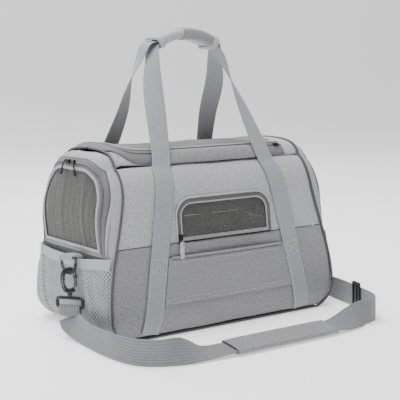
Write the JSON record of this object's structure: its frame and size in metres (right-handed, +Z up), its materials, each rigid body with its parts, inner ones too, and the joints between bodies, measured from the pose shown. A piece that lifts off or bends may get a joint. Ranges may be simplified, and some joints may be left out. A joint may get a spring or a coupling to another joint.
{
  "type": "pet carrier bag",
  "caption": "Soft-sided carrier bag with mesh doors and window, zipped roof flap, joined padded handles, end pockets and a clip-on shoulder strap.",
  "frame": {"origin": "middle of the base, on the surface the bag stands on", "axes": "+X along the front towards the right end, -Y out of the front, +Z up"},
  "size_m": [0.4933, 0.3978, 0.4622],
  "materials": {
    "fabric": "heather grey woven polyester, padded",
    "lower_fabric": "heather grey woven polyester, a shade darker",
    "padded_fabric": "padded heather grey cover",
    "mesh": "fine knitted mesh, see-through",
    "webbing": "woven polyester webbing with lengthwise ribs",
    "binding": "folded grosgrain binding",
    "piping": "dark covered cord",
    "zip_tape": "coil zip on lavender-grey tape",
    "zip_slider": "black painted zinc",
    "pull_rubber": "matte moulded rubber with a dark edge",
    "black_plastic": "moulded acetal, satin",
    "board": "stiff hollow board, matte",
    "fleece": "pale fleece pile"
  },
  "bodies": {
    "bag": {"front_upper_panel": "fabric", "rear_upper_panel": "fabric", "roof_frame": "fabric", "left_end_frame": "fabric", "right_end_frame": "fabric", "front_lower_panel": "lower_fabric", "rear_lower_panel": "lower_fabric", "base_panel": "lower_fabric", "front_pocket": "lower_fabric", "shoulder_pad": "padded_fabric", "left_pocket": "mesh", "right_pocket": "mesh", "front_left_leg": "webbing", "front_right_leg": "webbing", "rear_left_leg": "webbing", "rear_right_leg": "webbing", "left_tab": "webbing", "right_tab": "webbing", "shoulder_strap": "webbing", "left_pocket_binding": "binding", "right_pocket_binding": "binding", "front_piping": "piping", "rear_piping": "piping", "window_zip": "zip_tape", "left_door_zip": "zip_tape", "right_door_zip": "zip_tape", "roof_zip": "zip_tape", "tri_glide": "black_plastic", "base_board": "board"},
    "front_handle": {"front_handle": "webbing", "handle_wrap": "padded_fabric"},
    "rear_handle": {"rear_handle": "webbing"},
    "roof_flap": {"roof_flap": "mesh"},
    "left_door": {"left_door": "mesh"},
    "right_door": {"right_door": "mesh"},
    "front_window": {"front_window": "mesh"},
    "window_slider": {"window_slider": "zip_slider"},
    "window_pull": {"window_pull": "pull_rubber"},
    "roof_slider": {"roof_slider": "zip_slider"},
    "fleece_mat": {"fleece_mat": "fleece"},
    "left_door_slider_front": {"left_door_slider_front": "zip_slider"},
    "left_door_slider_rear": {"left_door_slider_rear": "zip_slider"},
    "left_ring": {"left_ring": "black_plastic"},
    "left_hook": {"left_hook": "black_plastic"},
    "left_gate": {"left_gate": "black_plastic"},
    "left_strap_loop": {"left_strap_loop": "black_plastic", "left_swivel": "black_plastic", "left_strap_end": "webbing"},
    "right_door_slider_front": {"right_door_slider_front": "zip_slider"},
    "right_door_slider_rear": {"right_door_slider_rear": "zip_slider"},
    "right_ring": {"right_ring": "black_plastic"},
    "right_hook": {"right_hook": "black_plastic"},
    "right_gate": {"right_gate": "black_plastic"},
    "right_strap_loop": {"right_strap_loop": "black_plastic", "right_swivel": "black_plastic", "right_strap_end": "webbing"}
  },
  "joints": [
    {"name": "front_handle_swing", "type": "hinge", "parent": "bag", "child": "front_handle", "pos_m": [0, -0.1189, 0.1175], "axis": [1, 0, 0], "range_deg": [0, 110]},
    {"name": "rear_handle_swing", "type": "hinge", "parent": "bag", "child": "rear_handle", "pos_m": [0, 0.1189, 0.1175], "axis": [-1, 0, 0], "range_deg": [0, 110]},
    {"name": "roof_flap_hinge", "type": "hinge", "parent": "bag", "child": "roof_flap", "pos_m": [0.145, 0, 0.2803], "axis": [0, 1, 0], "range_deg": [0, 93.5]},
    {"name": "left_door_hinge", "type": "hinge", "parent": "bag", "child": "left_door", "pos_m": [-0.2078, 0, 0.1313], "axis": [0, -1, 0], "range_deg": [0, 85]},
    {"name": "right_door_hinge", "type": "hinge", "parent": "bag", "child": "right_door", "pos_m": [0.2078, 0, 0.1313], "axis": [0, 1, 0], "range_deg": [0, 85]},
    {"name": "front_window_hinge", "type": "hinge", "parent": "bag", "child": "front_window", "pos_m": [0, -0.1144, 0.1403], "axis": [1, 0, 0], "range_deg": [0, 95]},
    {"name": "window_slider_slide", "type": "slide", "parent": "bag", "child": "window_slider", "axis": [0, 0.1123, 0.9937], "range_m": [0, 0.028]},
    {"name": "window_pull_hinge", "type": "hinge", "parent": "window_slider", "child": "window_pull", "pos_m": [-0.0876, -0.1228, 0.1408], "axis": [-1, 0, 0], "range_deg": [0, 150]},
    {"name": "roof_slider_slide", "type": "slide", "parent": "bag", "child": "roof_slider", "axis": [-1, 0, 0], "range_m": [0, 0.03]},
    {"name": "fleece_mat_lift", "type": "slide", "parent": "bag", "child": "fleece_mat", "axis": [0, 0, 1], "range_m": [0, 0.06]},
    {"name": "left_door_slider_front_slide", "type": "slide", "parent": "bag", "child": "left_door_slider_front", "axis": [0, -1, 0], "range_m": [0, 0.02]},
    {"name": "left_door_slider_rear_slide", "type": "slide", "parent": "bag", "child": "left_door_slider_rear", "axis": [0, 1, 0], "range_m": [0, 0.02]},
    {"name": "left_ring_hinge", "type": "hinge", "parent": "bag", "child": "left_ring", "pos_m": [-0.231, -0.033, 0.122], "axis": [-0.342, 0.9397, 0], "range_deg": [0, 8]},
    {"name": "left_hook_hinge", "type": "hinge", "parent": "left_ring", "child": "left_hook", "pos_m": [-0.231, -0.033, 0.098], "axis": [-0.342, 0.9397, 0], "range_deg": [0, 3]},
    {"name": "left_swivel_turn", "type": "hinge", "parent": "left_hook", "child": "left_strap_loop", "pos_m": [-0.231, -0.033, 0.0655], "axis": [0, 0, 1], "range_deg": [-10, 0]},
    {"name": "left_gate_hinge", "type": "hinge", "parent": "left_hook", "child": "left_gate", "pos_m": [-0.22314, -0.0365, 0.0777], "axis": [-0.4067, -0.9135, 0], "range_deg": [0, 25], "stiffness_Nm_per_rad": 0.03},
    {"name": "right_door_slider_front_slide", "type": "slide", "parent": "bag", "child": "right_door_slider_front", "axis": [0, -1, 0], "range_m": [0, 0.02]},
    {"name": "right_door_slider_rear_slide", "type": "slide", "parent": "bag", "child": "right_door_slider_rear", "axis": [0, 1, 0], "range_m": [0, 0.02]},
    {"name": "right_ring_hinge", "type": "hinge", "parent": "bag", "child": "right_ring", "pos_m": [0.231, -0.033, 0.122], "axis": [-0.342, -0.9397, 0], "range_deg": [0, 8]},
    {"name": "right_hook_hinge", "type": "hinge", "parent": "right_ring", "child": "right_hook", "pos_m": [0.231, -0.033, 0.098], "axis": [-0.342, -0.9397, 0], "range_deg": [0, 3]},
    {"name": "right_swivel_turn", "type": "hinge", "parent": "right_hook", "child": "right_strap_loop", "pos_m": [0.231, -0.033, 0.0655], "axis": [0, 0, 1], "range_deg": [0, 10]},
    {"name": "right_gate_hinge", "type": "hinge", "parent": "right_hook", "child": "right_gate", "pos_m": [0.22314, -0.0365, 0.0777], "axis": [-0.4067, 0.9135, 0], "range_deg": [0, 25], "stiffness_Nm_per_rad": 0.03}
  ],
  "couplings": [
    {"joint": "rear_handle_swing", "follows": "front_handle_swing", "ratio": 1},
    {"joint": "roof_flap_hinge", "follows": "front_handle_swing", "ratio": 0.85}
  ]
}
